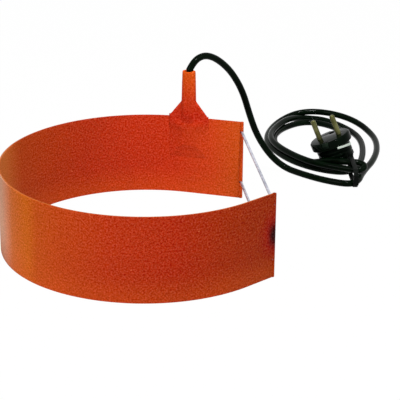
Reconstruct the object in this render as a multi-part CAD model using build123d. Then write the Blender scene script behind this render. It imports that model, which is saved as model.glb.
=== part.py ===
import os
from math import acos, cos, radians, sin, tan

from build123d import *

# Heating belt in silicone rubber that is sprung round a pail or small drum.
# Frame: millimetres, +Z up, origin on the axis of the ring at the belt's lower edge.
# The open ends of the ring are on the +X side, the supply lead leaves at the back.

# Belt, seen from above: an arc with a straight run at each end
ring_radius = 117.5      # of the joint between the two rubber sheets
belt_height = 70.0
inner_thickness = 0.9
outer_thickness = 0.9
arc_start = 72.7         # degrees, where the back straight leaves the arc
arc_sweep = 238.2        # degrees, round through the -X side
back_straight = 52.0
front_straight = 30.0

# Steel rods in the hemmed ends, and the windows on the inner side that bare them
rod_radius = 0.7
rod_inset = 2.0          # from the belt's upper and lower edges
hem_wall = 0.9
window_height = 1.6
window_clearance = 0.1   # round a hook

# Tension springs between the rods
upper_spring_inset = 9.0   # from the belt's upper edge
lower_spring_inset = 15.0  # from its lower edge
spring_radius = 1.2      # outside
wire_radius = 0.2
wire_sides = 6
spring_wall = 0.5        # of the close-wound coils, drawn as a plain tube
hook_clearance = 0.05    # between a hook and its rod
hook_neck = 1.3          # from a hook's loop to the first coil
hook_root = 0.3          # of the hook's wire, in the coils
hook_runs = 6            # straight runs in each loop
hook_open = 140.0        # degrees left open

# Resistance ribbon, laid in rows in a groove of the outer sheet
row_count = 4
row_margin = 12.0        # from the belt's edges to the outermost rows
ribbon_width = 3.6
ribbon_thickness = 0.4
ribbon_end_margin = 9.0
return_spacing = 6.0     # between the closing column and the hairpins beside it
terminal_spacing = 16.0

# Lead cover, moulded over the end of the supply lead
cover_along = 2.9        # from the start of the back straight
cover_width = 34.0
cover_overlap = 36.5     # down the belt, from its upper edge
cover_skin = 1.2
cover_corner = 1.5
shoulder_start = 1.0     # these three are heights over the belt's upper edge
shoulder_rise = 14.5
neck_rise = 42.0
neck_width_low = 13.2
neck_width_top = 11.8
neck_depth = 8.0
neck_offset = 0.2        # of the neck's middle towards the outside
neck_sides = 12
pad_width = 38.8         # on the belt, before it tapers
pad_height = 38.2
pad_rise = 11.3          # of its middle over the broken row
pad_depth = 2.9
pad_slope = 10.1         # run of its sloping edges
foot_height = 13.0       # of the slope between the pad and the neck
foot_below = 3.0         # from the belt's edge up to the slope's top

# Supply lead and what it joins inside the cover
cord_diameter = 6.0
sheath_rise = 4.0        # of the sheath's end over the belt's upper edge
core_radius = 0.7
core_sides = 8
core_gap = 0.3           # between a core and the belt
core_straight = 7.0      # out of the sheath
core_bend = 2.5
crimp_wall = 0.35
crimp_rise = 11.0        # of its top over the broken row
crimp_lead_in = 1.0
crimp_length = 7.0
tongue_width = 3.2
tongue_thickness = 0.5
tongue_length = 6.0
tongue_root = 1.0        # in the crimp's barrel
tail_width = 1.8
tail_height = 2.4

# Route of the free lead, from the neck to the coil, chosen by hand
lead_route = [
    (41.2, 113.5, 119.1),
    (48.8, 119.5, 122.9),
    (57.3, 126.1, 120.5),
    (67.2, 134.0, 112.2),
    (77.2, 141.6, 99.6),
    (86.8, 148.6, 80.4),
    (93.4, 153.4, 57.6),
    (100.6, 157.6, 37.0),
    (112.4, 162.0, 17.0),
    (125.6, 161.2, 3.0),
    (140.6, 144.2, 3.0),
    (160.4, 129.4, 3.0),
    (182.0, 120.2, 3.0),
]

# Coil of the spare lead, lying flat: edges of the hank seen from above
coil_outer = [
    (113.0, 231.0), (118.0, 262.0), (130.0, 284.0), (147.0, 300.0), (166.0, 306.0),
    (186.0, 305.0), (203.0, 296.0), (216.0, 278.0), (223.0, 250.0), (222.0, 217.0),
    (214.0, 182.0), (204.0, 150.0), (193.0, 120.0), (181.0, 118.0), (173.0, 140.0),
    (150.0, 153.5), (126.0, 184.0), (115.0, 207.0),
]
coil_inner = [
    (127.0, 230.0), (133.0, 257.0), (146.0, 275.0), (166.0, 278.0), (186.0, 279.0),
    (198.0, 262.0), (202.0, 235.0), (200.0, 205.0), (193.0, 178.0), (185.0, 158.0),
    (166.0, 158.0), (149.0, 173.0), (136.0, 192.0), (129.0, 209.0),
]
coil_height = 15.0

# Band that ties the coil
tie_x = 187.0
tie_width = 4.0
tie_thickness = 1.2
tie_corner = 3.6
tie_near = 115.0
tie_far = 161.0

# Mains plug, standing on the back of its body inside the coil
plug_face_x = 169.0
plug_face_y = 178.0
pin_direction = Vector(-0.38, 0.10, 0.92)
pin_row_direction = Vector(0.85, -0.33, 0.41)
plug_sides = 28
flange_radius = 19.0
flange_depth = 8.0
flange_edge = 1.2
flange_step = 0.6        # in height, where the flange meets the body
body_radius = 16.0
body_depth = 25.0
rear_radius = 13.0
rear_edge = 3.0
grip_grooves = 3
grip_pitch = 4.2
groove_width = 1.8
groove_depth = 0.9
pin_radius = 2.4
pin_length = 19.0
pin_root = 9.0           # moulded into the body
pin_root_radius = 1.9
pin_spacing = 19.0
pin_chamfer = 1.0
earth_hole_radius = 2.5
earth_hole_offset = 9.5
earth_hole_depth = 14.0
clip_width = 6.0
clip_thickness = 0.8
clip_bow = 1.0           # of the clip's middle over its ends
clip_slot_width = 7.0
clip_slot_depth = 3.0
clip_slot_length = 6.5
clip_root = 3.0          # of each clip, held in the body
boot_height = -14.5      # of the boot's axis, from the plug's face
boot_sides = 12
boot_root = 3.0          # in the body
boot_root_radius = 6.2
boot_tip_radius = 4.4
boot_length = 20.0
boot_grooves = 3
boot_groove_width = 1.6
boot_groove_depth = 0.9

# Lead between the plug and the coil
tail_route = [
    (195.0, 234.0, 10.0),
    (193.0, 254.0, 5.0),
    (181.0, 270.0, 4.0),
    (166.0, 281.0, 4.0),
]
tube_sides = 10

UP = Vector(0, 0, 1)
arc_at = CenterArc((0, 0, 0), ring_radius, arc_start, arc_sweep)
back_direction = -(arc_at % 0)
front_direction = arc_at % 1
back_end = Plane(origin=arc_at @ 0 + back_direction * back_straight, x_dir=back_direction, z_dir=UP)
front_end = Plane(origin=arc_at @ 1 + front_direction * front_straight, x_dir=front_direction, z_dir=UP)
hem_radius = rod_radius + hem_wall
ON_FLOOR = (Align.CENTER, Align.CENTER, Align.MIN)
TO_FACE = (Align.CENTER, Align.CENTER, Align.MAX)


# A band that follows the belt, between two offsets from the sheets' joint
def belt_strip(inside, outside, low, high, front_trim=0.0, back_trim=0.0):
    edges = []
    for radius in (ring_radius + inside, ring_radius + outside):
        arc = CenterArc((0, 0, 0), radius, arc_start, arc_sweep)
        start = arc @ 0 + back_direction * (back_straight - back_trim)
        end = arc @ 1 + front_direction * (front_straight - front_trim)
        edges += [Line(start, arc @ 0), arc, Line(arc @ 1, end)]
    edges.append(Line(edges[0] @ 0, edges[3] @ 0))
    edges.append(Line(edges[2] @ 1, edges[5] @ 1))
    return Pos(0, 0, low) * extrude(make_face(edges), high - low)


# A place on one end of the belt, measured back from the edge
def at_end(end_plane, from_end, z):
    return end_plane.location * Pos(-from_end, 0, z)


# Straight runs joined by tangent arcs as large as the runs allow
def tube_path(points):
    points = [Vector(*p) for p in points]
    radii = []
    for before, corner, after in zip(points, points[1:], points[2:]):
        arriving, leaving = corner - before, after - corner
        half_turn = radians(arriving.get_angle(leaving)) / 2
        radii.append(0.45 * min(arriving.length, leaving.length) / tan(half_turn))
    print("cord radii:", [round(r, 1) for r in radii])
    return FilletPolyline(*points, radius=radii)


def cord_tube(points, radius):
    path = tube_path(points)
    section = Plane(origin=path @ 0, z_dir=path % 0) * RegularPolygon(radius, tube_sides)
    tube = sweep(section, path=path)
    print("cord length", round(path.length, 1), "volume ratio",
          round(tube.volume / (section.area * path.length), 4))
    return tube


# A turned piece with flat sides, from the radius at each height along Z
def turned(outline, sides):
    return loft([Pos(0, 0, z) * RegularPolygon(radius, sides) for radius, z in outline], ruled=True)


# V grooves round a turned piece, from the first to the last height
def grooves(count, first, last, width, depth, radius_at):
    outline = []
    for index in range(count):
        middle = first + (last - first) * index / (count - 1)
        for shift, inwards in ((-width / 2, 0), (0, depth), (width / 2, 0)):
            outline.append((radius_at(middle + shift) - inwards, middle + shift))
    return outline


# Heating element: rows, hairpins at both ends and one closing column at the back
row_pitch = (belt_height - 2 * row_margin) / (row_count - 1)
row_heights = [row_margin + row_pitch * i for i in range(row_count)]
hairpin_margin = ribbon_end_margin + return_spacing
broken_row = row_heights[-2]
BACK_SIDE = (Align.MAX, Align.MIN, Align.MIN)
FRONT_SIDE = (Align.MAX, Align.MAX, Align.MIN)


def ribbon_row(middle, back_margin):
    half = ribbon_width / 2
    return belt_strip(0, ribbon_thickness, middle - half, middle + half, ribbon_end_margin, back_margin)


def ribbon_column(end_plane, margin, low, high):
    outer_side = FRONT_SIDE if end_plane is front_end else BACK_SIDE
    column = Box(ribbon_width, ribbon_thickness, high - low + ribbon_width, align=outer_side)
    return at_end(end_plane, margin, low - ribbon_width / 2) * column


ribbon = ribbon_column(back_end, ribbon_end_margin, row_heights[0], row_heights[-1])
for height in row_heights:
    outermost = height in (row_heights[0], row_heights[-1])
    ribbon += ribbon_row(height, ribbon_end_margin if outermost else hairpin_margin)
for low, high in zip(row_heights[0::2], row_heights[1::2]):
    ribbon += ribbon_column(front_end, ribbon_end_margin, low, high)
for low, high in zip(row_heights[1::2], row_heights[2::2]):
    ribbon += ribbon_column(back_end, hairpin_margin, low, high)

# Frame of the lead cover: X along the belt, Y outwards, Z up, on the belt's inner face
outwards = UP.cross(back_direction)
cover_origin = arc_at @ 0 + back_direction * cover_along - outwards * inner_thickness
cover_frame = Plane(origin=cover_origin, x_dir=back_direction, z_dir=UP).location
cover_front = Plane(origin=cover_origin, x_dir=back_direction, z_dir=-outwards)
through = 3 * (inner_thickness + outer_thickness)
ribbon -= cover_frame * Pos(0, 0, broken_row) * Box(
    terminal_spacing - tail_width, through, 2 * ribbon_width)
tails = []
for side in (-1, 1):
    tails.append(cover_frame * Pos(side * terminal_spacing / 2, 0, broken_row) * Box(
        tail_width, through, tail_height))

inner_sheet = belt_strip(-inner_thickness, 0, 0, belt_height)
outer_sheet = belt_strip(0, outer_thickness, 0, belt_height) - ribbon
for tail in tails:
    inner_sheet -= tail
    ribbon += tail & belt_strip(-inner_thickness, ribbon_thickness, 0, belt_height)

# Hemmed ends with their rods, and a window for each hook
loop_radius = rod_radius + hook_clearance + wire_radius
hook_room = loop_radius + wire_radius + window_clearance
window_depth = hook_room + hem_radius + window_clearance
spring_heights = (lower_spring_inset, belt_height - upper_spring_inset)
rods = []
for end_plane, outer_way in ((front_end, -1), (back_end, 1)):
    hem = at_end(end_plane, hem_radius, 0) * Cylinder(hem_radius, belt_height, align=ON_FLOOR)
    nose = at_end(end_plane, 0, 0) * Box(
        hem_radius, 4 * hem_radius, belt_height, align=(Align.MAX, Align.CENTER, Align.MIN))
    rod = at_end(end_plane, hem_radius, rod_inset) * Cylinder(
        rod_radius, belt_height - 2 * rod_inset, align=ON_FLOOR)
    inner_sheet -= hem + nose
    outer_sheet = outer_sheet - nose + hem - rod
    for height in spring_heights:
        outer_sheet -= at_end(end_plane, hem_radius, height) * Pos(
            0, outer_way * (hook_room - window_depth / 2), 0) * Box(
            2 * hook_room, window_depth, window_height)
    rods.append(rod)

# Springs with a looped hook at each end
front_rod_centre = at_end(front_end, hem_radius, 0).position
back_rod_centre = at_end(back_end, hem_radius, 0).position
rod_gap = (back_rod_centre - front_rod_centre).length
spring_way = (back_rod_centre - front_rod_centre).normalized()


def spring(height):
    coil_start = loop_radius + hook_neck
    coil_length = rod_gap - 2 * coil_start
    turns = Cylinder(spring_radius, coil_length, align=ON_FLOOR)
    turns -= Cylinder(spring_radius - spring_wall, coil_length, align=ON_FLOOR)
    corner_radius = loop_radius / cos(radians((360 - hook_open) / hook_runs / 2))
    corners = []
    for index in range(hook_runs + 1):
        angle = radians(90 + (360 - hook_open) * (1 - index / hook_runs))
        corners.append((corner_radius * cos(angle), corner_radius * sin(angle)))
    wire = Polyline(*corners, (coil_start, loop_radius), (coil_start + hook_root, loop_radius))
    section = Plane(origin=wire @ 0, z_dir=wire % 0) * RegularPolygon(wire_radius, wire_sides)
    hook = sweep(section, path=wire, transition=Transition.RIGHT)
    far_hook = Pos(rod_gap, 0, 0) * mirror(hook, about=Plane.YZ)
    frame = Plane(origin=front_rod_centre + UP * height, x_dir=spring_way, z_dir=UP).location
    return frame * (Pos(coil_start, 0, 0) * Rot(0, 90, 0) * turns + hook + far_hook)


lower_spring, upper_spring = [spring(height) for height in spring_heights]

# Lead end, cores and crimps under the cover
sheath_end = belt_height + sheath_rise
crimp_top = broken_row + crimp_rise
neck_top = belt_height + neck_rise
core_y = -(core_radius + core_gap)
core_inset = core_radius + core_gap / 2
sheath_stub = cover_frame * Pos(0, neck_offset, sheath_end) * Cylinder(
    cord_diameter / 2, neck_top - sheath_end, align=ON_FLOOR)
cores = []
crimps = []
for side in (-1, 1):
    x_in, x_out = side * core_inset, side * terminal_spacing / 2
    route = FilletPolyline(
        (x_in, core_y, sheath_end), (x_in, core_y, sheath_end - core_straight),
        (x_out, core_y, crimp_top + crimp_lead_in), (x_out, core_y, crimp_top - crimp_length / 2),
        radius=core_bend)
    core = sweep(Plane(origin=route @ 0, z_dir=route % 0) * RegularPolygon(core_radius, core_sides),
                 path=route)
    barrel = Pos(x_out, core_y, crimp_top - crimp_length) * Cylinder(
        core_radius + crimp_wall, crimp_length, align=ON_FLOOR)
    tongue = Pos(x_out, 0, crimp_top - crimp_length + tongue_root) * Box(
        tongue_width, tongue_thickness, tongue_length + tongue_root,
        align=(Align.CENTER, Align.MAX, Align.MAX))
    cores.append(cover_frame * core)
    crimps.append(cover_frame * (barrel + tongue - core) - inner_sheet - ribbon)

# Lead cover: a flat patch on the belt, shoulders above its edge, and a flattened neck
half_width = cover_width / 2
half_neck = neck_width_low / 2
cover_bottom = belt_height - cover_overlap
shoulder_low = belt_height + shoulder_start
shoulder_top = belt_height + shoulder_rise
patch_outline = Polyline(
    (-half_width, cover_bottom), (half_width, cover_bottom), (half_width, shoulder_low),
    (half_neck, shoulder_top), (-half_neck, shoulder_top), (-half_width, shoulder_low), close=True)
patch_face = make_face(patch_outline)
patch_face = fillet(patch_face.vertices(), cover_corner)
patch_prism = extrude(cover_front * patch_face, cover_width, both=True)
skin = belt_strip(-inner_thickness - cover_skin, -inner_thickness, cover_bottom, belt_height)
shoulders = belt_strip(-inner_thickness - cover_skin, outer_thickness, belt_height, shoulder_top)
patch = (skin + shoulders) & patch_prism


def neck_section(width, depth, height, middle):
    corners = []
    for index in range(neck_sides):
        angle = radians(360 * (index + 0.5) / neck_sides)
        side = 1 if cos(angle) > 0 else -1
        x = side * (width - depth) / 2 + depth / 2 * cos(angle)
        corners.append((x, middle + depth / 2 * sin(angle)))
    return Pos(0, 0, height) * make_face(Polyline(*corners, close=True))


foot_top = belt_height + foot_below
neck = loft([
    neck_section(neck_width_low, 2 * cover_skin, foot_top - foot_height, 0),
    neck_section(neck_width_low, neck_depth, foot_top, neck_offset),
    neck_section(neck_width_low, neck_depth, shoulder_top, neck_offset),
    neck_section(neck_width_top, neck_depth, neck_top, neck_offset)], ruled=True)
pad = Pos(0, 0, broken_row + pad_rise) * loft([
    Plane.XZ * Rectangle(pad_width, pad_height),
    Plane.XZ.offset(pad_depth) * Rectangle(
        pad_width - 2 * pad_slope, pad_height - 2 * pad_slope)], ruled=True)
lead_cover = patch + cover_frame * (neck + pad)
for piece in [inner_sheet, outer_sheet, ribbon, sheath_stub] + cores + crimps:
    lead_cover -= piece

# Plug: a flanged body on its back, with the pins leaning up out of the coil
plug_z = pin_direction.normalized()
plug_x = (pin_row_direction - plug_z * pin_row_direction.dot(plug_z)).normalized()
plug_lean = acos(plug_z.Z)
plug_face_z = body_depth * plug_z.Z + rear_radius * sin(plug_lean)
plug_frame = Plane(origin=(plug_face_x, plug_face_y, plug_face_z), x_dir=plug_x, z_dir=plug_z).location

first_groove = flange_depth + grip_pitch / 2
last_groove = first_groove + grip_pitch * (grip_grooves - 1)
body_outline = [
    (flange_radius - flange_edge, 0), (flange_radius, -flange_edge),
    (flange_radius, flange_step - flange_depth), (body_radius, -flange_depth)]
body_outline += grooves(grip_grooves, -first_groove, -last_groove, -groove_width, groove_depth,
                        lambda z: body_radius)
body_outline += [(body_radius, rear_edge - body_depth), (rear_radius, -body_depth)]
plug_body = turned(body_outline, plug_sides)
plug_body -= Pos(0, earth_hole_offset, 0) * Cylinder(earth_hole_radius, earth_hole_depth, align=TO_FACE)

pins = []
for side in (-1, 1):
    pin = Cylinder(pin_radius, pin_length, align=ON_FLOOR)
    pin = chamfer(pin.edges().filter_by(GeomType.CIRCLE).sort_by(Axis.Z)[-1], pin_chamfer)
    pin += Cylinder(pin_root_radius, pin_root, align=TO_FACE)
    pins.append(Pos(side * pin_spacing / 2, 0, 0) * pin)

clips = []
for turn in (0, 180):
    slot = Pos(0, flange_radius, 0) * Box(
        clip_slot_width, 2 * clip_slot_depth, 2 * clip_slot_length)
    bow = flange_radius - clip_thickness
    seat = flange_radius - clip_slot_depth
    leaf = Polyline((seat - clip_root, -clip_slot_length + clip_thickness),
                    (bow - clip_bow / 2, -clip_slot_length + clip_thickness),
                    (bow, -clip_slot_length / 2), (bow - clip_bow, -clip_thickness),
                    (seat - clip_root / 2, -clip_thickness))
    clip = extrude(Plane.YZ * trace(leaf, clip_thickness), clip_width / 2, both=True)
    plug_body -= Rot(0, 0, turn) * slot
    clips.append(Rot(0, 0, turn) * clip)


def boot_radius(height):
    share = (height + boot_root) / (boot_root + boot_length)
    return boot_root_radius + (boot_tip_radius - boot_root_radius) * share


groove_step = boot_length / (boot_grooves + 1)
boot_outline = [(boot_radius(-boot_root), -boot_root)]
boot_outline += grooves(boot_grooves, groove_step, boot_length - groove_step, boot_groove_width,
                        boot_groove_depth, boot_radius)
boot_outline.append((boot_radius(boot_length), boot_length))
boot_place = Pos(0, body_radius, boot_height) * Rot(-90, 0, 0)
boot = boot_place * turned(boot_outline, boot_sides)
for piece in pins + clips + [boot]:
    plug_body -= piece
plug_body = plug_frame * plug_body
pins = [plug_frame * pin for pin in pins]
clips = [plug_frame * clip for clip in clips]
boot = plug_frame * boot

# Free lead, its coil, the band round it and the short lead to the plug
neck_mouth = (cover_frame * Pos(0, neck_offset, neck_top)).position
lead = cord_tube([neck_mouth] + lead_route, cord_diameter / 2) - sheath_stub - lead_cover
tail_start = (plug_frame * boot_place * Pos(0, 0, boot_length)).position
tail = cord_tube([tail_start] + tail_route, cord_diameter / 2) - boot
coil = extrude(make_face(Polyline(*coil_outer, close=True)), coil_height)
coil -= extrude(make_face(Polyline(*coil_inner, close=True)), coil_height)
tie_length = tie_far - tie_near
tie_place = Pos(tie_x, (tie_near + tie_far) / 2, 0)
tie = Box(tie_width, tie_length, coil_height + tie_thickness, align=ON_FLOOR)
tie = fillet(tie.edges().filter_by(Axis.X), tie_corner)
tied = Box(tie_width, tie_length - 2 * tie_thickness, coil_height - tie_thickness, align=ON_FLOOR)
tied = fillet(tied.edges().filter_by(Axis.X), tie_corner - tie_thickness)
tie = tie_place * (tie - Pos(0, 0, tie_thickness) * tied)
coil -= tie
tie -= plug_body
for piece in [lead, tail, boot, plug_body]:
    coil -= piece

nodes = {
    "inner_sheet": inner_sheet,
    "outer_sheet": outer_sheet,
    "heating_element": ribbon,
    "front_end_rod": rods[0],
    "back_end_rod": rods[1],
    "upper_spring": upper_spring,
    "lower_spring": lower_spring,
    "lead_cover": lead_cover,
    "lead_end": sheath_stub,
    "left_core": cores[0],
    "right_core": cores[1],
    "left_crimp": crimps[0],
    "right_crimp": crimps[1],
    "supply_lead": lead,
    "lead_coil": coil,
    "coil_tie": tie,
    "plug_lead": tail,
    "plug_body": plug_body,
    "plug_boot": boot,
    "left_pin": pins[0],
    "right_pin": pins[1],
    "far_earth_clip": clips[0],
    "near_earth_clip": clips[1],
}

os.makedirs("parts", exist_ok=True)
for name, shape in nodes.items():
    solids = shape.solids()
    print(name, len(solids), "solids", [round(x.volume, 1) for x in solids])
    export_step(Compound(solids) if len(solids) > 1 else solids[0], f"parts/{name}.step")
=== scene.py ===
from math import atan2, cos, pi, radians, sin

import bmesh
import bpy
from mathutils import Matrix, Vector


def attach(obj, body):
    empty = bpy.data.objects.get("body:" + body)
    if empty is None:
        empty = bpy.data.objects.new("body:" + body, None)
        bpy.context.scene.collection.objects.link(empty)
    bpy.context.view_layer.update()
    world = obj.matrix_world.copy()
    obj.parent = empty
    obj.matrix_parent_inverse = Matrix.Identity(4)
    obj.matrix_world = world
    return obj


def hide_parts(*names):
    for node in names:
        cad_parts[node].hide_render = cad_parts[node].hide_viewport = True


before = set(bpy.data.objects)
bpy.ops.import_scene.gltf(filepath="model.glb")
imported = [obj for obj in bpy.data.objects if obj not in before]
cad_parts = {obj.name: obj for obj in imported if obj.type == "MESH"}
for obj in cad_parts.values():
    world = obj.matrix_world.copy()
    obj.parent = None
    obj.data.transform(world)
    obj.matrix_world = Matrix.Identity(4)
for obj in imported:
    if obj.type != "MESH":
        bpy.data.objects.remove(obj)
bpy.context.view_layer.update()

view = dict(place=(0.0, -1.20032, 0.51526), ahead=(0.03399, 0.92832, -0.37021), rollDegrees=0.553,
            focalPixels=1590.8, framePixels=400, sensor=36.0, farLimit=20.0)


def placeCamera():
    ahead = Vector(view["ahead"]).normalized()
    right = ahead.cross(Vector((0, 0, 1))).normalized()
    up = right.cross(ahead)
    roll = radians(view["rollDegrees"])
    right, up = right * cos(roll) + up * sin(roll), up * cos(roll) - right * sin(roll)
    turn = Matrix((right, up, -ahead)).transposed().to_4x4()
    bpy.ops.object.camera_add()
    camera = bpy.context.object
    camera.matrix_world = Matrix.Translation(view["place"]) @ turn
    camera.data.sensor_width = view["sensor"]
    camera.data.lens = view["sensor"] * view["focalPixels"] / view["framePixels"]
    camera.data.clip_end = view["farLimit"]
    bpy.context.scene.camera = camera


placeCamera()
print("camera placed")

# the lead: its own sizes are in metres, its route in millimetres, first over the edge to the
# floor and then turn by turn to the plug
lead = dict(diameter=0.006, length=1.37, sides=5, exit=(37.502, 110.654, 112.0))
leadRoute = [
    (41.2, 113.5, 119.1), (48.8, 119.5, 122.9), (57.3, 126.1, 120.5), (67.2, 134.0, 112.2),
    (77.2, 141.6, 99.6), (86.8, 148.6, 80.4), (93.4, 153.4, 57.6), (100.6, 157.6, 37.0),
    (112.4, 162.0, 17.0), (127.0, 163.6, 3.0), (142.4, 146.4, 3.0), (160.8, 130.4, 3.0),
    (182.0, 120.2, 3.0)]
outerTurn = [
    (191.0, 129.0, 3.0), (195.5, 144.4, 3.0), (201.6, 160.0, 3.0), (209.6, 177.3, 3.0),
    (216.8, 200.3, 3.0), (220.6, 222.6, 3.0), (221.2, 243.5, 3.0), (218.0, 261.5, 3.5),
    (211.8, 276.5, 5.5), (202.5, 288.5, 7.5), (190.0, 298.5, 8.8), (175.5, 305.0, 9.3),
    (161.0, 306.0, 9.4), (147.2, 305.4, 6.8), (132.9, 293.2, 3.8), (121.8, 269.8, 3.0),
    (116.4, 244.8, 3.0), (117.9, 224.4, 3.0), (122.8, 208.4, 3.0), (130.0, 191.7, 3.0),
    (139.5, 177.0, 3.0), (152.2, 164.0, 3.0), (166.1, 155.3, 3.0), (178.8, 150.8, 3.3)]
innerTurn = [
    (187.5, 153.5, 3.6), (195.3, 165.5, 3.4), (202.3, 190.0, 3.0), (206.0, 214.5, 3.0),
    (206.8, 236.0, 3.0), (204.3, 254.0, 3.0), (198.0, 270.5, 3.0), (189.5, 285.0, 3.0),
    (176.7, 299.8, 3.0), (162.9, 303.8, 3.0), (151.3, 298.4, 5.6), (138.6, 282.0, 9.2),
    (127.0, 261.0, 9.0), (120.5, 242.4, 9.0), (119.5, 223.5, 9.0), (124.1, 205.7, 9.0),
    (131.7, 189.5, 9.0), (141.4, 173.9, 9.0), (152.7, 160.9, 9.0), (164.7, 152.9, 9.0),
    (175.1, 147.5, 9.0), (184.0, 143.0, 9.0)]
hairpinAtTie = [
    (190.5, 139.8, 9.2), (197.0, 140.5, 10.2), (198.2, 145.5, 12.0), (193.5, 148.7, 13.4),
    (187.0, 149.0, 13.6), (180.5, 150.7, 13.4), (173.5, 155.0, 12.6), (166.5, 161.0, 10.8),
    (160.0, 166.5, 7.6)]
turnToPlug = [
    (153.0, 173.5, 4.4), (144.4, 184.4, 3.1), (133.8, 198.9, 3.0), (125.9, 215.7, 3.0),
    (123.3, 233.0, 3.0), (124.4, 250.8, 3.0), (131.8, 269.3, 3.0), (144.6, 284.0, 3.0),
    (156.5, 291.6, 3.0), (168.6, 291.0, 3.0), (180.0, 281.0, 3.6), (188.5, 267.5, 4.4),
    (193.5, 252.0, 6.0), (195.0, 234.0, 10.0), (186.9, 210.3, 16.2)]


def metres(points):
    return [Vector(p) / 1000 for p in points]


def splineTube(name, points, radius, sides):
    curve = bpy.data.curves.new(name, "CURVE")
    curve.dimensions = "3D"
    spline = curve.splines.new("NURBS")
    spline.points.add(len(points) - 1)
    for place, point in zip(spline.points, points):
        place.co = (*point, 1)
    spline.order_u = 3
    spline.use_endpoint_u = True
    curve.resolution_u = 8
    curve.bevel_depth = radius
    curve.bevel_resolution = sides
    curve.use_fill_caps = True
    piece = bpy.data.objects.new(name, curve)
    bpy.context.collection.objects.link(piece)
    return piece


leadPoints = metres([lead["exit"]] + leadRoute + outerTurn + innerTurn + hairpinAtTie + turnToPlug)
cord = splineTube("supplyCord", leadPoints, lead["diameter"] / 2, lead["sides"])
print("cord laid")


class Value:
    def __init__(self, graph, socket):
        self.graph = graph
        self.socket = socket

    def maths(self, operation, other=None, flipped=False):
        inputs = {0: self} if other is None else {0: self, 1: other}
        if flipped:
            inputs = {0: other, 1: self}
        return self.graph.make("Math", {"operation": operation}, inputs)

    def __add__(self, other):
        return self.maths("ADD", other)

    def __sub__(self, other):
        return self.maths("SUBTRACT", other)

    def __rsub__(self, other):
        return self.maths("SUBTRACT", other, True)

    def __mul__(self, other):
        return self.maths("MULTIPLY", other)

    def sine(self):
        return self.maths("SINE")

    __radd__ = __add__
    __rmul__ = __mul__


class Graph:
    def __init__(self, owner):
        self.owner = owner
        owner.use_nodes = True
        self.tree = owner.node_tree
        self.tree.nodes.clear()

    def make(self, kind, settings=None, inputs=None, outlet=0):
        node = self.tree.nodes.new("ShaderNode" + kind)
        for key, value in (settings or {}).items():
            if key == "stops":
                stops = node.color_ramp.elements
                while len(stops) < len(value):
                    stops.new(0.5)
                for stop, (place, tone) in zip(stops, value):
                    stop.position = place
                    stop.color = tone
            else:
                setattr(node, key, value)
        for key, value in (inputs or {}).items():
            if isinstance(value, Value):
                self.tree.links.new(value.socket, node.inputs[key])
            else:
                node.inputs[key].default_value = value
        return Value(self, node.outputs[outlet]) if len(node.outputs) else None

    def outlet(self, value, index):
        return Value(self, value.socket.node.outputs[index])

    def mixColours(self, factor, first, second, way="MIX"):
        return self.make("Mix", {"data_type": "RGBA", "blend_type": way},
                         {0: factor, 6: first, 7: second}, 2)

    def shade(self, tone, light):
        grey = self.make("CombineColor", None, {0: light, 1: light, 2: light})
        return self.mixColours(1.0, tone, grey, "MULTIPLY")

    def between(self, value, low, high):
        return self.make("MapRange", {"interpolation_type": "SMOOTHSTEP"},
                         {0: value, 1: low, 2: high, 3: 0.0, 4: 1.0})

    def noise(self, vector, scale, detail=2.0, rough=0.5):
        return self.make("TexNoise", None, {"Vector": vector, "Scale": scale, "Detail": detail,
                                            "Roughness": rough})

    def stretched(self, vector, scale, shift=(0, 0, 0)):
        return self.make("Mapping", None, {"Vector": vector, "Location": shift, "Scale": scale})

    def ramp(self, value, tones):
        return self.make("ValToRGB", {"stops": [(at, colour(*tone)) for at, tone in tones]},
                         {0: value})

    def distance(self, vector):
        return self.make("VectorMath", {"operation": "LENGTH"}, {0: vector}, 1)

    def finish(self, **surface):
        inputs = {key.replace("_", " "): value for key, value in surface.items()}
        shader = self.make("BsdfPrincipled", None, inputs)
        self.make("OutputMaterial", None, {"Surface": shader})
        return self.owner


def newLook(name):
    return Graph(bpy.data.materials.new(name))


def colour(red, green, blue):
    # from the values a picture editor shows to what the shader takes
    return tuple((c / 255) ** 2.2 for c in (red, green, blue)) + (1,)


def plainRubber(name, base, dark, roughness, grain, bumpDepth, gloss):
    g = newLook(name)
    place = g.make("TexCoord", None, None, 3)
    patchy = g.noise(place, 60.0, 3.0)
    fine = g.noise(place, grain, 2.0)
    body = g.mixColours(g.between(patchy, 0.3, 0.7), colour(*dark), colour(*base))
    bump = g.make("Bump", None, {"Strength": 0.4, "Distance": bumpDepth, "Height": fine})
    return g.finish(Base_Color=body, Roughness=roughness + 0.12 * patchy, Normal=bump,
                    Specular_IOR_Level=gloss)


def bareMetal(name, base, worn, roughness, scratchScale):
    g = newLook(name)
    place = g.make("TexCoord", None, None, 3)
    patchy = g.noise(place, 120.0, 3.0)
    scratch = g.noise(g.stretched(place, scratchScale), 1.0, 2.0)
    body = g.mixColours(g.between(patchy, 0.35, 0.7), colour(*base), colour(*worn))
    bump = g.make("Bump", None, {"Strength": 0.25, "Distance": 0.00003, "Height": scratch})
    return g.finish(Base_Color=body, Metallic=1.0, Roughness=roughness + 0.2 * scratch,
                    Normal=bump)


def deselectAll():
    bpy.ops.object.select_all(action="DESELECT")


def choose(piece):
    deselectAll()
    bpy.context.view_layer.objects.active = piece
    piece.select_set(True)


def startEdit(piece, kind="FACE"):
    choose(piece)
    bpy.ops.object.mode_set(mode="EDIT")
    bpy.ops.mesh.select_mode(type=kind)
    bpy.ops.mesh.select_all(action="DESELECT")


def endEdit():
    bpy.ops.object.mode_set(mode="OBJECT")


def pick(piece, kind, test):
    shape = bmesh.from_edit_mesh(piece.data)
    for element in getattr(shape, kind):
        if test(element):
            element.select_set(True)
    bmesh.update_edit_mesh(piece.data)


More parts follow.
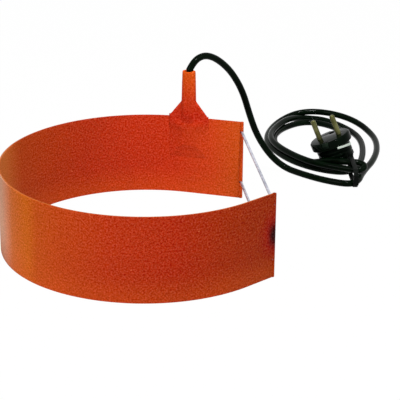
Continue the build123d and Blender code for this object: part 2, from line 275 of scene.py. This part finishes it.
def tidyMesh(piece):
    startEdit(piece)
    bpy.ops.mesh.select_all(action="SELECT")
    bpy.ops.mesh.remove_doubles(threshold=0.000005)
    bpy.ops.mesh.normals_make_consistent(inside=False)
    endEdit()


def useModifier(piece, kind, **settings):
    choose(piece)
    modifier = piece.modifiers.new(kind, kind)
    for key, value in settings.items():
        setattr(modifier, key, value)
    bpy.ops.object.modifier_apply(modifier=modifier.name)


def breakEdges(piece, width, angle, segments=2):
    useModifier(piece, "BEVEL", width=width, segments=segments, limit_method="ANGLE",
                angle_limit=radians(angle))


def settle(piece):
    choose(piece)
    bpy.ops.object.transform_apply(location=True, rotation=True, scale=True)


def seat(piece, placing):
    piece.matrix_world = placing
    settle(piece)


def smooth(piece, angle=35):
    choose(piece)
    bpy.ops.object.shade_smooth_by_angle(angle=radians(angle))


def dress(piece, material, slotName, *nodes):
    piece.data.materials.clear()
    piece.data.materials.append(material)
    if nodes:
        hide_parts(*nodes)
    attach(piece, "root")


def addBox(name, place, size, turn=0.0):
    deselectAll()
    bpy.ops.mesh.primitive_cube_add(size=1, location=place, rotation=(0, 0, turn))
    piece = bpy.context.object
    piece.name = name
    piece.scale = size
    settle(piece)
    return piece


def addRound(name, place, radius, height, sides=32):
    deselectAll()
    bpy.ops.mesh.primitive_cylinder_add(vertices=sides, radius=radius, depth=height,
                                        location=place)
    piece = bpy.context.object
    piece.name = name
    settle(piece)
    return piece


def turnPiece(name, outline, sides):
    # a turned piece on the Z axis, from the radius and height of each step
    radius, height = outline[0]
    deselectAll()
    bpy.ops.mesh.primitive_circle_add(vertices=sides, radius=radius, fill_type="NGON",
                                      location=(0, 0, height))
    piece = bpy.context.object
    piece.name = name
    settle(piece)
    startEdit(piece)
    bpy.ops.mesh.select_all(action="SELECT")
    for wide, level in outline[1:]:
        bpy.ops.mesh.extrude_region_move(TRANSFORM_OT_translate={"value": (0, 0, level - height)})
        bpy.ops.transform.resize(value=(wide / radius, wide / radius, 1),
                                 center_override=(0, 0, level))
        radius, height = wide, level
    endEdit()
    tidyMesh(piece)
    return piece


def combine(piece, tool, operation="DIFFERENCE"):
    useModifier(piece, "BOOLEAN", operation=operation, object=tool, solver="EXACT")
    bpy.data.objects.remove(tool)


def joinPieces(pieces, name):
    deselectAll()
    for part in pieces:
        part.select_set(True)
    bpy.context.view_layer.objects.active = pieces[0]
    bpy.ops.object.join()
    pieces[0].name = name
    return pieces[0]


def copyNode(node, name):
    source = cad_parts[node]
    piece = bpy.data.objects.new(name, source.data.copy())
    bpy.context.collection.objects.link(piece)
    tidyMesh(piece)
    return piece


belt = dict(ring=0.1175, height=0.070, thickness=0.0009, arcStart=72.7, arcSweep=238.2,
            backRun=0.052, frontRun=0.030, edge=0.00022, edgeAngle=60, steps=120)
hem = dict(rod=0.0007, wall=0.0009, rodInset=0.002, windowHeight=0.0016, windowRoom=0.00125,
           heights=(0.015, 0.061), rollGap=0.0001, pastJoint=0.0002, sides=40, rodSides=24)
hemRadius = hem["rod"] + hem["wall"]
startAngle = radians(belt["arcStart"])
endAngle = radians(belt["arcStart"] + belt["arcSweep"])
backWay = Vector((sin(startAngle), -cos(startAngle), 0))
frontWay = Vector((-sin(endAngle), cos(endAngle), 0))
arcLength = belt["ring"] * radians(belt["arcSweep"])
beltLength = belt["backRun"] + arcLength + belt["frontRun"]


def onArc(angle, radius):
    return Vector((cos(angle), sin(angle), 0)) * radius


beltEnds = [
    dict(way=backWay, outwards=onArc(startAngle, 1.0), joint=onArc(startAngle, belt["ring"]),
         run=belt["backRun"]),
    dict(way=frontWay, outwards=onArc(endAngle, 1.0), joint=onArc(endAngle, belt["ring"]),
         run=belt["frontRun"])]


def rodPlace(end):
    return end["joint"] + end["way"] * (end["run"] - hemRadius)


def alongBelt(point):
    # distance from the back end, measured on the sheets' joint
    back = (point - beltEnds[0]["joint"]).dot(backWay)
    front = (point - beltEnds[1]["joint"]).dot(frontWay)
    if back > 0 and point.x > 0 and point.y > 0:
        return belt["backRun"] - back
    if front > 0 and point.x > 0 and point.y < 0:
        return belt["backRun"] + arcLength + front
    angle = atan2(point.y, point.x) % (2 * pi)
    return belt["backRun"] + belt["ring"] * (angle - startAngle)


def mapAlongBelt(piece):
    for layer in list(piece.data.uv_layers):
        piece.data.uv_layers.remove(layer)
    layer = piece.data.uv_layers.new(name="alongBelt")
    for corner in piece.data.loops:
        point = piece.data.vertices[corner.vertex_index].co
        layer.data[corner.index].uv = (alongBelt(point), point.z)


# tones along the belt, as shares of its length from the back end, and up the lead cover
rubberLook = dict(
    innerTones=[(0.0, (190, 78, 28)), (0.05, (194, 65, 29)), (0.11, (187, 54, 26)),
                (0.17, (180, 52, 26)), (0.25, (167, 51, 24)), (0.31, (166, 57, 22)),
                (0.38, (165, 64, 24)), (0.44, (178, 96, 46))],
    # outer face: the pale mauve stops (0.46 to 0.56) are painted sheen and the amber stops (0.58
    # to 0.62) painted highlight, where the face turns away at the left; the other stops are the
    # rubber's own tone
    outerTonesAndSheen=[(0.0, (196, 72, 22)), (0.4, (190, 84, 34)), (0.46, (208, 154, 124)),
                (0.54, (206, 150, 122)), (0.56, (212, 134, 98)), (0.58, (202, 105, 52)),
                (0.60, (203, 99, 37)), (0.62, (202, 98, 25)), (0.64, (190, 80, 26)),
                (0.68, (186, 70, 26)), (0.75, (177, 56, 25)), (0.84, (164, 47, 19)),
                (0.91, (155, 50, 12)), (1.0, (140, 48, 2))],
    coverTones=[(0.0, (190, 50, 26)), (0.3, (190, 50, 26)), (0.55, (197, 61, 28)),
                (1.0, (208, 84, 24))],
    paintedLowLight=(204, 88, 32), paintedLowLightReach=0.026, paintedLowLightMix=0.32, topShade=0.09, topFrom=0.03,
    fleck=(222, 116, 74), fleckMix=0.4, roughness=0.58, roughSpread=0.14, gloss=0.04)
# sizes of the grain, in features to the metre, and how much light each one takes or gives
clothLook = dict(pitch=0.0012, speckScale=700.0, cloudScale=210.0, blotchScale=22.0,
                 fleckScale=380.0, base=0.28, speck=1.1, cloud=0.2, blotch=0.16, cloth=0.05,
                 greyGrain=0.06, bumpDepth=0.00008, bumpCloth=0.5, bumpSpeck=0.9)
coverRise = dict(start=0.058, blend=0.012, top=0.112)
scorchMark = dict(along=beltLength, height=0.0365, raggedScale=110.0, ragged=0.5, full=0.3,
                  faded=1.3, rings=[dict(tone=(142, 26, 16), reach=(0.0165, 0.022), mix=0.85),
                                    dict(tone=(52, 10, 10), reach=(0.0085, 0.0125), mix=1.0)])


def addScorch(g, place, body):
    # a heat mark at the front end: a red halo round a small dark core
    ragged = scorchMark["ragged"] * (g.noise(place, scorchMark["raggedScale"], 3.0) - 0.5)
    for ring in scorchMark["rings"]:
        wide, tall = ring["reach"]
        away = g.distance(g.stretched(place, (1 / wide, 1 / tall, 1.0), (
            -scorchMark["along"] / wide, -scorchMark["height"] / tall, 0.0)))
        share = 1 - g.between(away + ragged, scorchMark["full"], scorchMark["faded"])
        body = g.mixColours(share * ring["mix"], body, colour(*ring["tone"]))
    return body


def siliconeSheet(name, tones, coverTones=None, scorchedAndTopShaded=False):
    g = newLook(name)
    place = g.make("UVMap", {"uv_map": "alongBelt"})
    along = g.make("SeparateXYZ", None, {0: place})
    height = g.outlet(along, 1)
    body = g.ramp(along * (1 / beltLength), tones)
    # painted light: the rubber lighter and more orange towards the bottom
    paintedLowLightShare = 1 - g.between(height, 0.0, rubberLook["paintedLowLightReach"])
    body = g.mixColours(paintedLowLightShare * rubberLook["paintedLowLightMix"], body, colour(*rubberLook["paintedLowLight"]))
    if coverTones:
        start, rise = coverRise["start"], coverRise["top"] - coverRise["start"]
        raised = g.ramp((height - start) * (1 / rise), coverTones)
        body = g.mixColours(g.between(height, start, start + coverRise["blend"]), body, raised)
    if scorchedAndTopShaded:
        body = addScorch(g, place, body)
    speck = g.noise(place, clothLook["speckScale"], 2.0, 0.7)
    cloud = g.noise(place, clothLook["cloudScale"], 3.0)
    blotch = g.noise(place, clothLook["blotchScale"], 2.0)
    warp = (along * (2 * pi / clothLook["pitch"])).sine()
    weft = (height * (2 * pi / clothLook["pitch"])).sine()
    cloth = warp * weft
    light = clothLook["base"] + clothLook["speck"] * speck + clothLook["cloud"] * cloud
    light = light + clothLook["blotch"] * blotch + clothLook["cloth"] * cloth
    # painted shade: the outer face darker towards its top
    if scorchedAndTopShaded:
        light = light - rubberLook["topShade"] * g.between(
            height, rubberLook["topFrom"], belt["height"])
    body = g.shade(body, light)
    # the cloth's grain is as strong in the dark channels as in the red
    greySpeck = g.make("CombineColor", None, {0: speck, 1: speck, 2: speck})
    body = g.mixColours(clothLook["greyGrain"], body, greySpeck, "LINEAR_LIGHT")
    flecks = g.between(g.noise(place, clothLook["fleckScale"], 1.0), 0.70, 0.80)
    body = g.mixColours(flecks * rubberLook["fleckMix"], body, colour(*rubberLook["fleck"]))
    relief = clothLook["bumpCloth"] * cloth + clothLook["bumpSpeck"] * speck
    bump = g.make("Bump", None, {"Strength": 0.5, "Distance": clothLook["bumpDepth"],
                                 "Height": relief})
    rough = rubberLook["roughness"] + rubberLook["roughSpread"] * cloud
    return g.finish(Base_Color=body, Roughness=rough, Normal=bump,
                    Specular_IOR_Level=rubberLook["gloss"])


def makeStrip(name, inside, outside, trim):
    middle = belt["ring"] + (inside + outside) / 2
    run = belt["backRun"] - trim
    centre = onArc(startAngle, middle) + backWay * run / 2 + Vector((0, 0, belt["height"] / 2))
    piece = addBox(name, centre, (run, outside - inside, belt["height"]),
                   atan2(backWay.y, backWay.x))
    startEdit(piece)
    pick(piece, "faces", lambda f: f.normal.dot(backWay) < -0.9)
    bpy.ops.mesh.spin(steps=belt["steps"], angle=-radians(belt["arcSweep"]), center=(0, 0, 0),
                      axis=(0, 0, 1))
    bpy.ops.mesh.extrude_region_move(
        TRANSFORM_OT_translate={"value": frontWay * (belt["frontRun"] - trim)})
    endEdit()
    tidyMesh(piece)
    return piece


innerSheet = makeStrip("innerSheet", -belt["thickness"], 0.0, hemRadius)
outerSheet = makeStrip("outerSheet", 0.0, belt["thickness"], hemRadius)
for end in beltEnds:
    centre = rodPlace(end) + Vector((0, 0, belt["height"] / 2))
    combine(innerSheet, addRound("rollRoom", centre, hemRadius + hem["rollGap"],
                                 belt["height"] * 1.1, hem["sides"]))
breakEdges(innerSheet, belt["edge"], belt["edgeAngle"])
breakEdges(outerSheet, belt["edge"], belt["edgeAngle"])
for end in beltEnds:
    centre = rodPlace(end) + Vector((0, 0, belt["height"] / 2))
    roll = addRound("hemRoll", centre, hemRadius, belt["height"], hem["sides"])
    breakEdges(roll, belt["edge"], belt["edgeAngle"])
    combine(outerSheet, roll, "UNION")
    combine(outerSheet, addRound("rodTool", centre, hem["rod"],
                                 belt["height"] - 2 * hem["rodInset"], hem["rodSides"]))
    for height in hem["heights"]:
        # from the inner side to just past the joint, so the outer wall stays whole
        depth = hemRadius + hem["windowRoom"] + hem["pastJoint"]
        middle = rodPlace(end) + end["outwards"] * (hem["windowRoom"] - depth / 2)
        combine(outerSheet, addBox(
            "windowTool", middle + Vector((0, 0, height)),
            (2 * hem["windowRoom"], depth, hem["windowHeight"]),
            atan2(end["way"].y, end["way"].x)))
innerRubber = siliconeSheet("innerSilicone", rubberLook["innerTones"])
outerRubber = siliconeSheet("outerSilicone", rubberLook["outerTonesAndSheen"], scorchedAndTopShaded=True)
for piece, rubber, slotName, node in ((innerSheet, innerRubber, "silicone_inner", "inner_sheet"),
                                      (outerSheet, outerRubber, "silicone_outer", "outer_sheet")):
    mapAlongBelt(piece)
    smooth(piece, 40)
    dress(piece, rubber, slotName, node)
    print(piece.name, len(piece.data.polygons), "faces")

cover = dict(voxel=0.0005, rounds=14, fadeFrom=0.064, fade=0.006, slope=0.24, onSheet=0.00006)


def depthOnSheet(point):
    # from the inner face of the belt towards the middle of the ring
    angle = atan2(point.y, point.x)
    flat = Vector((point.x, point.y, 0)).dot(onArc(startAngle, 1.0))
    out = flat if angle < startAngle else Vector((point.x, point.y)).length
    return belt["ring"] - belt["thickness"] - out


def runOut(piece):
    # brings the pad's border down to the sheet, so that no wall stands at its outline
    low = [v for v in piece.data.vertices if v.co.z < cover["fadeFrom"]]
    places = [alongBelt(v.co) for v in low]
    left, right, bottom = min(places), max(places), min(v.co.z for v in low)
    for vertex, place in zip(low, places):
        border = min(place - left, right - place, vertex.co.z - bottom)
        allowed = cover["onSheet"] + cover["slope"] * border
        depth = depthOnSheet(vertex.co)
        share = min(1.0, (belt["height"] - vertex.co.z) / cover["fade"] - 1.0)
        if depth > allowed:
            angle = max(startAngle, atan2(vertex.co.y, vertex.co.x))
            vertex.co += onArc(angle, 1.0) * (depth - allowed) * share


leadCover = copyNode("lead_cover", "leadCover")
useModifier(leadCover, "REMESH", mode="VOXEL", voxel_size=cover["voxel"])
useModifier(leadCover, "SMOOTH", factor=0.5, iterations=cover["rounds"])
coverRubber = siliconeSheet("coverSilicone", rubberLook["innerTones"], rubberLook["coverTones"])
mapAlongBelt(leadCover)
runOut(leadCover)
choose(leadCover)
bpy.ops.object.shade_smooth()
dress(leadCover, coverRubber, "silicone_cover", "lead_cover")
print("lead cover", len(leadCover.data.polygons), "faces")

spring = dict(radius=0.0012, wire=0.0002, pitch=0.00048, neck=0.0013, clearance=0.00005,
              heights=(0.061, 0.015), ring=10, wireSides=5, hookFrom=310, hookTo=90, hookStep=20,
              hookLeaves=0.6, lap=0.0003)
frontRod, backRod = rodPlace(beltEnds[1]), rodPlace(beltEnds[0])
rodGap = (backRod - frontRod).length
springWay = (backRod - frontRod).normalized()
hookLoop = hem["rod"] + spring["clearance"] + spring["wire"]
coilStart = hookLoop + spring["neck"]


def makeHook(far):
    # round the rod, then off it in a line to the first turn of the coil
    turn = range(spring["hookFrom"], spring["hookTo"] - 1, -spring["hookStep"])
    points = [Vector((cos(radians(a)) * hookLoop, sin(radians(a)) * hookLoop, 0)) for a in turn]
    points += [Vector((hookLoop * spring["hookLeaves"], hookLoop, 0)),
               Vector((coilStart, hookLoop, 0)), Vector((coilStart + spring["lap"], hookLoop, 0))]
    if far:
        points = [Vector((rodGap - p.x, p.y, 0)) for p in points]
    hook = splineTube("hook", points, spring["wire"], 1)
    choose(hook)
    bpy.ops.object.convert(target="MESH")
    return bpy.context.object


def makeSpring(name, height, node):
    long = rodGap - 2 * coilStart
    turns = int(long / spring["pitch"])
    deselectAll()
    bpy.ops.mesh.primitive_circle_add(vertices=spring["wireSides"], radius=spring["wire"],
                                      fill_type="NOTHING", rotation=(pi / 2, 0, 0),
                                      location=(spring["radius"] - spring["wire"], 0, 0))
    coil = bpy.context.object
    settle(coil)
    useModifier(coil, "SCREW", axis="Z", screw_offset=long / turns, iterations=turns,
                steps=spring["ring"], render_steps=spring["ring"], use_merge_vertices=False)
    startEdit(coil, "EDGE")
    bpy.ops.mesh.select_non_manifold()
    bpy.ops.mesh.edge_face_add()
    endEdit()
    seat(coil, Matrix.Translation((coilStart, 0, 0)) @ Matrix.Rotation(pi / 2, 4, "Y"))
    tidyMesh(coil)
    coil = joinPieces([coil, makeHook(False), makeHook(True)], name)
    seat(coil, Matrix.Translation(frontRod + Vector((0, 0, height))) @ Matrix.Rotation(
        atan2(springWay.y, springWay.x), 4, "Z"))
    smooth(coil, 60)
    dress(coil, springSteel, "spring_steel", node)
    print(name, turns, "turns", len(coil.data.polygons), "faces")


springSteel = bareMetal("springSteel", (206, 206, 216), (172, 173, 184), 0.3,
                        (300.0, 300.0, 300.0))
for name, height, node in zip(("upperSpring", "lowerSpring"), spring["heights"],
                              ("upper_spring", "lower_spring")):
    makeSpring(name, height, node)

cordRubber = plainRubber("cordRubber", (11, 24, 13), (6, 14, 7), 0.08, 900.0, 0.000001, 0.03)
dress(cord, cordRubber, "cord_black", "supply_lead", "lead_coil", "plug_lead")

tie = dict(x=0.187, near=0.117, far=0.160, top=0.0172, width=0.0042, thickness=0.0012,
           corner=0.0052, cornerSteps=6, edge=0.0003, nubReach=0.0026, nearSlack=0.0002,
           upNub=(0.0004, 0.0006, 1), frontNub=(0.1, -1, 0.1))


def isTopCorner(face):
    normal = face.normal
    return (normal.z > 0.3 and normal.y > 0.3 and
            face.calc_center_median().z > 0.8 * tie["top"])


def isFront(face):
    return (face.normal.y < -0.9 and
            face.calc_center_median().y < tie["near"] + tie["nearSlack"])


def makeTie():
    half = (tie["far"] - tie["near"]) / 2
    centre = Vector((tie["x"], (tie["far"] + tie["near"]) / 2, tie["top"] / 2))
    piece = addBox("cordTie", centre, (tie["width"], 2 * half, tie["top"]))
    startEdit(piece, "EDGE")
    pick(piece, "edges", lambda e: abs((e.verts[0].co - e.verts[1].co).normalized().x) > 0.9)
    bpy.ops.mesh.bevel(offset=tie["corner"], segments=tie["cornerSteps"], affect="EDGES")
    bpy.ops.mesh.select_mode(type="FACE")
    bpy.ops.mesh.select_all(action="DESELECT")
    pick(piece, "faces", lambda f: abs(f.normal.x) > 0.9)
    bpy.ops.mesh.inset(thickness=tie["thickness"])
    bpy.ops.mesh.bridge_edge_loops()
    endEdit()
    tidyMesh(piece)
    # the strip's two ends stand out as short nubs, one above and one at the front
    for test, way in ((isTopCorner, tie["upNub"]), (isFront, tie["frontNub"])):
        startEdit(piece)
        pick(piece, "faces", test)
        bpy.ops.mesh.extrude_region_move(
            TRANSFORM_OT_translate={"value": Vector(way).normalized() * tie["nubReach"]})
        endEdit()
    breakEdges(piece, tie["edge"], 50)
    smooth(piece, 40)
    return piece


cordTie = makeTie()
tiePlastic = plainRubber("tieWeave", (10, 15, 11), (5, 8, 6), 0.5, 1600.0, 0.00008, 0.06)
dress(cordTie, tiePlastic, "tie_black", "coil_tie")

# the plug, on its back inside the coil: sizes as in the part's source
plug = dict(face=(0.169, 0.178), pinWay=(-0.38, 0.10, 0.92), rowWay=(0.85, -0.33, 0.41),
            sides=64, flange=0.019, flangeDepth=0.008, flangeEdge=0.0012, flangeStep=0.0008,
            flangeRound=0.0004, flangeSlope=0.0002, body=0.016, depth=0.025, rear=0.013,
            rearEdge=0.003, rearFlat=0.9, rearRound=0.0006, earthHole=0.0025, earthDepth=0.014,
            earthOffset=0.0095, slotWidth=0.007, slotDepth=0.003, slotLength=0.0065, edge=0.0003)
pinWay = Vector(plug["pinWay"]).normalized()
rowWay = Vector(plug["rowWay"])
rowWay = (rowWay - pinWay * rowWay.dot(pinWay)).normalized()
lean = pinWay.angle(Vector((0, 0, 1)))
faceHeight = plug["depth"] * cos(lean) + plug["rear"] * sin(lean)
plugPlace = Matrix.Translation((*plug["face"], faceHeight)) @ Matrix(
    (rowWay, pinWay.cross(rowWay), pinWay)).transposed().to_4x4()
grip = dict(first=0.0101, pitch=0.0042, count=3, width=0.0018, depth=0.0009)
bodyOutline = [(plug["rear"] * plug["rearFlat"], -plug["depth"]),
               (plug["rear"], plug["rearRound"] - plug["depth"]),
               (plug["body"], plug["rearEdge"] - plug["depth"])]
for index in reversed(range(grip["count"])):
    middle = -(grip["first"] + grip["pitch"] * index)
    for shift, inwards in ((-0.5, 0), (-0.2, 1), (0.2, 1), (0.5, 0)):
        bodyOutline.append((plug["body"] - inwards * grip["depth"],
                            middle + shift * grip["width"]))
bodyOutline += [(plug["body"], -plug["flangeDepth"]),
                (plug["flange"] - plug["flangeRound"], plug["flangeSlope"] - plug["flangeDepth"]),
                (plug["flange"], plug["flangeStep"] - plug["flangeDepth"]),
                (plug["flange"], -plug["flangeEdge"]), (plug["flange"] - plug["flangeEdge"], 0.0)]
plugBody = turnPiece("plugBody", bodyOutline, plug["sides"])
combine(plugBody, addRound("earthTool", (0, plug["earthOffset"], 0), plug["earthHole"],
                           2 * plug["earthDepth"]))
for way in (1, -1):
    combine(plugBody, addBox("slotTool", (0, way * plug["flange"], 0),
                             (plug["slotWidth"], 2 * plug["slotDepth"], 2 * plug["slotLength"])))
breakEdges(plugBody, plug["edge"], 30)
seat(plugBody, plugPlace)
smooth(plugBody, 40)

boot = dict(height=-0.0145, radius=0.0060, narrower=0.0018, root=-0.002, end=0.020, collar=0.0015,
            rings=(0.005, 0.010, 0.015), ring=0.0020, groove=0.0008, grooveDepth=0.0009,
            tip=0.0044, tipEnd=0.0041, tipEdge=0.0005, sides=32)
bootOutline = [(boot["radius"], boot["root"]), (boot["radius"], boot["collar"])]
for middle in boot["rings"]:
    gone = (middle - boot["root"]) / (boot["end"] - boot["root"])
    wide = boot["radius"] - boot["narrower"] * gone
    for shift, inwards in ((-boot["ring"], 0), (-boot["groove"], 1), (boot["groove"], 1),
                           (boot["ring"], 0)):
        bootOutline.append((wide - inwards * boot["grooveDepth"], middle + shift / 2))
bootOutline += [(boot["tip"], boot["end"] - boot["tipEdge"]), (boot["tipEnd"], boot["end"])]
plugBoot = turnPiece("plugBoot", bootOutline, boot["sides"])
seat(plugBoot, plugPlace @ Matrix.Translation((0, plug["body"], boot["height"])) @
     Matrix.Rotation(-pi / 2, 4, "X"))
smooth(plugBoot, 50)

# a moulded bar on the wall under the right pin, its pale colour a painted highlight
paintedHighlightBar = dict(middle=-37.0, sweep=46.0, steps=12, height=-0.0094, slope=10.0, wide=0.0019,
               proud=0.0007, start=0.0001, edge=0.0003)
plugBar = addBox("plugBar", (plug["flange"], 0, 0),
                 (2 * paintedHighlightBar["proud"], paintedHighlightBar["start"], paintedHighlightBar["wide"]))
startEdit(plugBar)
pick(plugBar, "faces", lambda f: f.normal.y > 0.9)
bpy.ops.mesh.spin(steps=paintedHighlightBar["steps"], angle=-radians(paintedHighlightBar["sweep"]), center=(0, 0, 0),
                  axis=(0, 0, 1))
endEdit()
tidyMesh(plugBar)
breakEdges(plugBar, paintedHighlightBar["edge"], 60)
half = radians(paintedHighlightBar["sweep"] / 2)
seat(plugBar, plugPlace @ Matrix.Translation((0, 0, paintedHighlightBar["height"])) @
     Matrix.Rotation(radians(paintedHighlightBar["middle"]), 4, "Z") @
     Matrix.Rotation(-radians(paintedHighlightBar["slope"]), 4, "X") @ Matrix.Rotation(-half, 4, "Z"))
smooth(plugBar, 50)

plugPlastic = plainRubber("plugPlastic", (12, 22, 14), (6, 12, 7), 0.1, 700.0, 0.00002, 0.03)
# painted highlight: the bar's pale grey-green stands in for a glint on the plug's wall
barPlastic = plainRubber("barPlastic", (196, 206, 196), (170, 182, 170), 0.3, 700.0, 0.00003, 0.5)
brownCore = plainRubber("brownCore", (104, 62, 40), (80, 45, 28), 0.4, 900.0, 0.00003, 0.5)
blueCore = plainRubber("blueCore", (42, 84, 165), (30, 62, 130), 0.4, 900.0, 0.00003, 0.5)
pinBrass = bareMetal("pinBrass", (112, 112, 74), (82, 82, 50), 0.34, (200.0, 200.0, 40.0))
clipSteel = bareMetal("clipSteel", (40, 50, 42), (24, 32, 26), 0.45, (300.0, 60.0, 60.0))
crimpTin = bareMetal("crimpTin", (200, 200, 196), (170, 170, 165), 0.3, (400.0, 400.0, 90.0))
alloy = bareMetal("ribbonAlloy", (170, 167, 163), (140, 136, 130), 0.4, (60.0, 60.0, 900.0))
dress(plugBody, plugPlastic, "plug_black", "plug_body")
dress(plugBoot, plugPlastic, "plug_black", "plug_boot")
dress(plugBar, barPlastic, "plug_black")
nodeLooks = {
    "heating_element": alloy, "front_end_rod": springSteel, "back_end_rod": springSteel,
    "lead_end": cordRubber, "left_core": brownCore, "right_core": blueCore, "left_crimp": crimpTin,
    "right_crimp": crimpTin, "left_pin": pinBrass, "right_pin": pinBrass,
    "far_earth_clip": clipSteel, "near_earth_clip": clipSteel}
for node, look in nodeLooks.items():
    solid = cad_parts[node]
    solid.data.materials.clear()
    solid.data.materials.append(look)

print("pieces dressed")

room = dict(floor=3.0, paper=0.9, glow=0.985, sky=0.3)
lamps = [dict(name="keyLamp", place=(-0.9, -0.9, 1.1), aim=(0, 0, 0.03), size=0.7, power=8.0),
         dict(name="fillLamp", place=(1.1, -0.5, 1.2), aim=(0, 0.1, 0.03), size=0.9, power=4.5),
         dict(name="topLamp", place=(0.2, -0.5, 1.5), aim=(0.1, 0.15, 0.03), size=0.12,
              power=19.0)]
deselectAll()
bpy.ops.mesh.primitive_plane_add(size=2 * room["floor"], location=(0, 0, 0))
floor = bpy.context.object
floor.name = "floor"
g = newLook("paperFloor")
diffuse = g.make("BsdfDiffuse", None, {"Color": (room["paper"], room["paper"], room["paper"], 1)})
glow = g.make("Emission", None, {"Color": (1, 1, 1, 1), "Strength": 1.0})
seen = g.make("LightPath")
seen = seen + g.outlet(seen, 3) + g.outlet(seen, 6)
g.make("OutputMaterial", None, {"Surface": g.make(
    "MixShader", None, {0: seen * room["glow"], 1: diffuse, 2: glow})})
floor.data.materials.append(g.owner)

studio = bpy.data.worlds.new("studio")
bpy.context.scene.world = studio
g = Graph(studio)
soft = g.make("Background", None, {"Strength": room["sky"]})
plain = g.make("Background", None, {"Strength": 1.0, "Color": (1, 1, 1, 1)})
seen = g.make("LightPath")
seen = seen + g.outlet(seen, 3) + g.outlet(seen, 6)
g.make("OutputWorld", None, {"Surface": g.make("MixShader", None, {0: seen, 1: soft, 2: plain})})


def addLamp(lamp):
    deselectAll()
    way = (Vector(lamp["aim"]) - Vector(lamp["place"])).to_track_quat("-Z", "Y").to_euler()
    bpy.ops.object.light_add(type="AREA", location=lamp["place"], rotation=way)
    made = bpy.context.object
    made.name = lamp["name"]
    made.data.size = lamp["size"]
    made.data.energy = lamp["power"]


for lamp in lamps:
    addLamp(lamp)
bpy.context.scene.view_settings.view_transform = "Standard"
print("stage lit")
